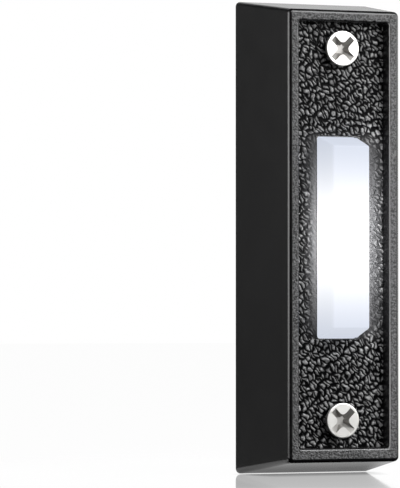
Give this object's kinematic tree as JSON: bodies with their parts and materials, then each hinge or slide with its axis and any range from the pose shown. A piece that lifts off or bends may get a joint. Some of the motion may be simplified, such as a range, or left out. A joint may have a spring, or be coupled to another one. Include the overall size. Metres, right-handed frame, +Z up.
{
  "type": "doorbell push button",
  "caption": "Tall black moulded doorbell push button with a raised rim, a grained panel, a lit white lens to press and a screw at each end.",
  "frame": {"origin": "centre of the back plane, where the housing meets the wall", "axes": "+Z up along the housing, +X to the right as seen from the front, -Y out of the front towards the person, +Y into the wall"},
  "size_m": [0.0336, 0.0424, 0.108],
  "materials": {
    "black_abs": "satin black moulded ABS, grained on the panel and fine-sparked on the rim",
    "white_lens": "translucent white acrylic, lit from behind",
    "steel_screw": "bright nickel-plated steel",
    "phenolic": "brown phenolic paper board with tinned copper tracks",
    "spring_steel": "drawn spring steel wire",
    "bronze": "rolled phosphor bronze",
    "silver": "silver contact metal",
    "brass": "pressed brass",
    "zinc_steel": "zinc-plated steel",
    "led_epoxy": "diffused clear epoxy",
    "tinned_wire": "tinned copper wire",
    "resistor_coat": "tan lacquer with colour bands",
    "diode_black": "black moulded epoxy with a pale band"
  },
  "bodies": {
    "root": {"housing": "black_abs", "mounting_screw_top": "steel_screw", "mounting_screw_bottom": "steel_screw", "contact_board": "phenolic", "return_spring_top": "spring_steel", "return_spring_bottom": "spring_steel", "leaf_contact": "bronze", "moving_contact": "silver", "leaf_rivet": "brass", "fixed_contact": "brass", "terminal_plate_left": "brass", "terminal_plate_right": "brass", "terminal_screw_left": "zinc_steel", "terminal_screw_right": "zinc_steel", "terminal_nut_left": "zinc_steel", "terminal_nut_right": "zinc_steel", "board_screw_top": "zinc_steel", "board_screw_bottom": "zinc_steel", "led": "led_epoxy", "led_leads": "tinned_wire", "resistor": "resistor_coat", "resistor_leads": "tinned_wire", "diode": "diode_black", "diode_leads": "tinned_wire"},
    "button": {"push_button": "white_lens"}
  },
  "joints": [
    {"name": "button_press", "type": "slide", "parent": "root", "child": "button", "axis": [0, 1, 0], "range_m": [0, 0.0018], "stiffness_N_per_m": 600, "springref_m": -0.003, "deforming": ["return_spring_top", "return_spring_bottom", "leaf_contact", "moving_contact"]}
  ]
}
